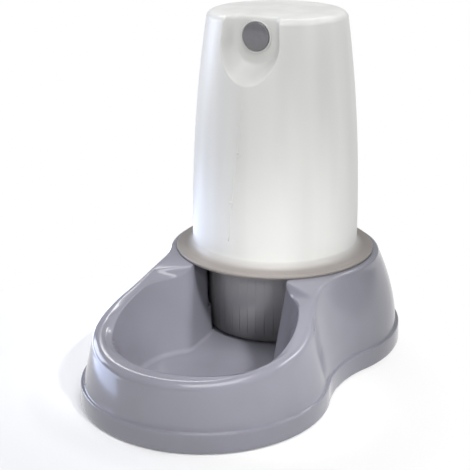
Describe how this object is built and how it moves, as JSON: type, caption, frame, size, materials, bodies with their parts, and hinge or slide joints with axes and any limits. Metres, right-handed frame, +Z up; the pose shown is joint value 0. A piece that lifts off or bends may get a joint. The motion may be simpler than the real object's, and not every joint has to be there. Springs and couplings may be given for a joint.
{
  "type": "gravity pet water dispenser",
  "caption": "Gravity water dispenser for pets: a moulded grey base with a drinking bowl, channel and well, and an inverted milky reservoir with a grip notch, plug and valved cap.",
  "frame": {"origin": "the middle of the footprint, on the surface that the dispenser stands on", "axes": "+Z is up; the drinking bowl points to -Y and the reservoir stands at +Y; X runs across the dispenser"},
  "size_m": [0.191, 0.3, 0.2475],
  "materials": {
    "base_plastic": "glossy injection-moulded polypropylene",
    "tank_plastic": "milky translucent blow-moulded polyethylene",
    "dark_plastic": "satin dark grey moulded plastic",
    "valve_plastic": "matt off-white acetal",
    "foot_rubber": "matt black rubber",
    "seal_rubber": "smooth black silicone rubber",
    "spring_steel": "drawn stainless wire"
  },
  "bodies": {
    "dispenser": {"base_shell": "base_plastic", "foot_front_left": "foot_rubber", "foot_front_right": "foot_rubber", "foot_rear_left": "foot_rubber", "foot_rear_right": "foot_rubber", "reservoir": "tank_plastic", "reservoir_neck": "tank_plastic", "grip_plug": "dark_plastic"},
    "cap_body": {"cap": "dark_plastic", "cap_gasket": "seal_rubber", "valve_cage": "valve_plastic", "valve_spring": "spring_steel"},
    "valve": {"valve_stem": "valve_plastic", "valve_seal": "seal_rubber"}
  },
  "joints": [
    {"name": "cap_twist", "type": "hinge", "parent": "dispenser", "child": "cap_body", "pos_m": [0, 0.0545, 0.04], "axis": [0, 0, -1], "range_deg": [0, 60]},
    {"name": "valve_slide", "type": "slide", "parent": "cap_body", "child": "valve", "axis": [0, 0, 1], "range_m": [0, 0.003], "stiffness_N_per_m": 200, "springref_m": -0.006, "deforming": ["valve_spring"]}
  ]
}
